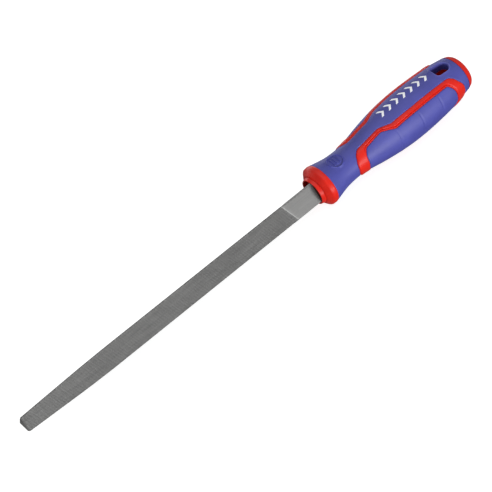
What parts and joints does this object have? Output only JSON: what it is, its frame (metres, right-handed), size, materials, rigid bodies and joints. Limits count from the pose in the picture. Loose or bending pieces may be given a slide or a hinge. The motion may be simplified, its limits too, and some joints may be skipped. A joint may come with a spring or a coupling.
{
  "type": "hand file",
  "caption": "Double-cut hand file with a three-square steel blade and a moulded two-colour handle, ribbed side pads and a through hang hole.",
  "frame": {"origin": "centre of the overall bounding box, on the handle's mirror plane", "axes": "+X along the file from the tip towards the butt, +Z out of the handle's top panel, +Y to the left pad"},
  "size_m": [0.314, 0.0317, 0.0275],
  "materials": {
    "blade_steel": "dull grey, double-cut teeth, ground heel",
    "red_hard_plastic": "glossy moulded",
    "blue_soft_grip": "satin, soft to the touch"
  },
  "bodies": {
    "root": {"file_blade": "blade_steel", "handle_core": "red_hard_plastic", "grip_sleeve": "blue_soft_grip", "left_pad": "blue_soft_grip", "right_pad": "blue_soft_grip"}
  },
  "joints": []
}
